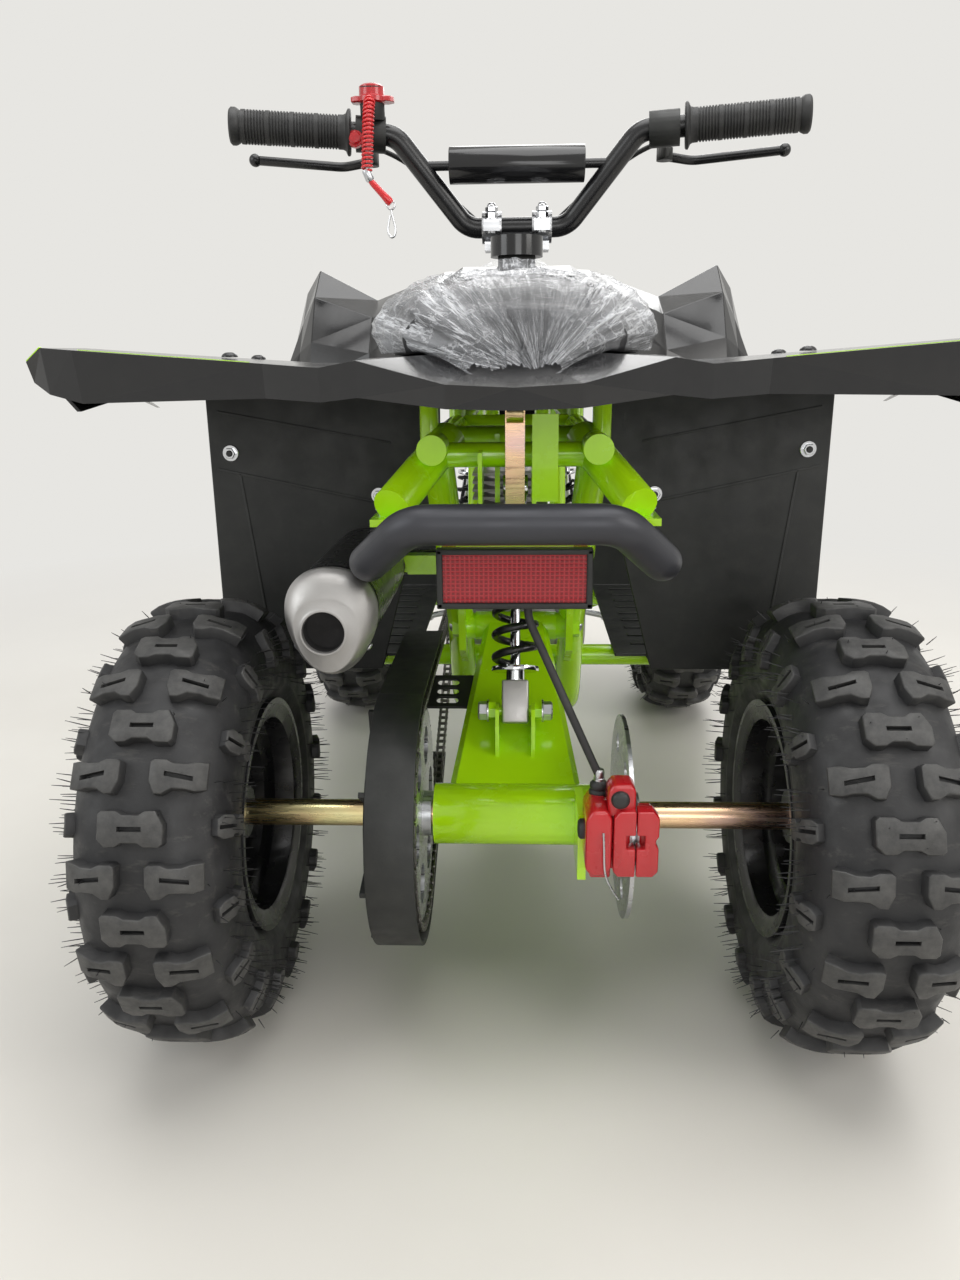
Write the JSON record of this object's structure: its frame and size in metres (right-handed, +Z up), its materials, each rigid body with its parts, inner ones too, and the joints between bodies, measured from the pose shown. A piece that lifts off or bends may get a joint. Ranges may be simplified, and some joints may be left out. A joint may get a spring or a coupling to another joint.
{
  "type": "children's mini quad bike",
  "caption": "Small petrol quad bike for a child with a tube frame, live rear axle, chain drive, black bodywork, knobby tyres and handlebar steering.",
  "frame": {"origin": "on the floor, at the middle of the overall length and width", "axes": "+X to the rider's right, +Y forward, +Z up"},
  "size_m": [0.672, 1.07, 0.7807],
  "materials": {
    "green_paint": "gloss",
    "black_plastic": "gloss",
    "matt_plastic": "satin",
    "black_paint": "satin",
    "graphite_paint": "satin",
    "tyre": "matt",
    "rubber": "matt",
    "yellow_zinc": "satin",
    "zinc": "satin",
    "chain_steel": "oiled",
    "alloy": "cast",
    "chrome": "polished",
    "red_paint": "gloss",
    "red_lens": "gloss",
    "lamp_lens": "clear",
    "vinyl": "satin",
    "red_cord": "gloss"
  },
  "bodies": {
    "chassis": {"drive_chain": "chain_steel", "chain_guard": "matt_plastic", "swing_arm": "green_paint", "shock_absorbers": "chrome", "shock_springs": "black_paint", "frame": "green_paint", "foot_bars": "green_paint", "front_arms": "green_paint", "rear_caliper": "red_paint", "rear_brake_cable": "rubber", "crankcase": "alloy", "drive_sprocket": "zinc", "cylinder": "alloy", "pull_starter": "matt_plastic", "carburettor": "alloy", "air_filter": "matt_plastic", "exhaust": "black_paint", "silencer_cap": "alloy", "rear_fender": "black_plastic", "front_fender": "black_plastic", "nose_panel": "black_plastic", "headlamps": "lamp_lens", "foot_boards": "matt_plastic", "seat": "vinyl", "fuel_tank": "matt_plastic", "fuel_cap": "black_plastic", "rear_grab_bar": "graphite_paint", "front_bumper": "graphite_paint", "rear_reflector": "red_lens", "seat_latch": "yellow_zinc"},
    "rear_axle_line": {"rear_tyre_left": "tyre", "rear_tyre_right": "tyre", "rear_rims": "black_paint", "rear_axle": "yellow_zinc", "rear_sprocket": "zinc", "rear_brake_disc": "zinc"},
    "steering": {"steering_stem": "zinc", "handlebar": "black_paint", "bar_pad": "black_plastic", "grips": "rubber", "hand_controls": "matt_plastic", "brake_levers": "black_paint", "stop_lanyard": "red_cord"},
    "knuckle_left": {"knuckle_left": "zinc", "front_caliper_left": "red_paint"},
    "knuckle_right": {"knuckle_right": "zinc", "front_caliper_right": "red_paint"},
    "wheel_front_left": {"front_tyre_left": "tyre", "front_rim_left": "black_paint"},
    "wheel_front_right": {"front_tyre_right": "tyre", "front_rim_right": "black_paint"},
    "tie_rod_left": {"tie_rod_left": "zinc"},
    "tie_rod_right": {"tie_rod_right": "zinc"}
  },
  "joints": [
    {"name": "rear_axle_spin", "type": "hinge", "parent": "chassis", "child": "rear_axle_line", "pos_m": [0, -0.37, 0.165], "axis": [1, 0, 0], "continuous": true},
    {"name": "steer", "type": "hinge", "parent": "chassis", "child": "steering", "pos_m": [0, 0.33, 0.19], "axis": [0, -0.4114, 0.9114], "range_deg": [-30, 30]},
    {"name": "kingpin_left", "type": "hinge", "parent": "chassis", "child": "knuckle_left", "pos_m": [-0.14, 0.35, 0.165], "axis": [0, 0, 1], "range_deg": [-30, 30]},
    {"name": "front_wheel_spin_left", "type": "hinge", "parent": "knuckle_left", "child": "wheel_front_left", "pos_m": [-0.232, 0.35, 0.165], "axis": [1, 0, 0], "continuous": true},
    {"name": "tie_rod_swing_left", "type": "hinge", "parent": "steering", "child": "tie_rod_left", "pos_m": [-0.012, 0.27531, 0.16531], "axis": [0, -0.4114, 0.9114], "range_deg": [-30, 30]},
    {"name": "kingpin_right", "type": "hinge", "parent": "chassis", "child": "knuckle_right", "pos_m": [0.14, 0.35, 0.165], "axis": [0, 0, 1], "range_deg": [-30, 30]},
    {"name": "front_wheel_spin_right", "type": "hinge", "parent": "knuckle_right", "child": "wheel_front_right", "pos_m": [0.232, 0.35, 0.165], "axis": [1, 0, 0], "continuous": true},
    {"name": "tie_rod_swing_right", "type": "hinge", "parent": "steering", "child": "tie_rod_right", "pos_m": [0.012, 0.27531, 0.16531], "axis": [0, -0.4114, 0.9114], "range_deg": [-30, 30]}
  ],
  "couplings": [
    {"joint": "kingpin_left", "follows": "steer", "ratio": 1},
    {"joint": "kingpin_right", "follows": "steer", "ratio": 1},
    {"joint": "tie_rod_swing_left", "follows": "steer", "ratio": -1},
    {"joint": "tie_rod_swing_right", "follows": "steer", "ratio": -1}
  ]
}
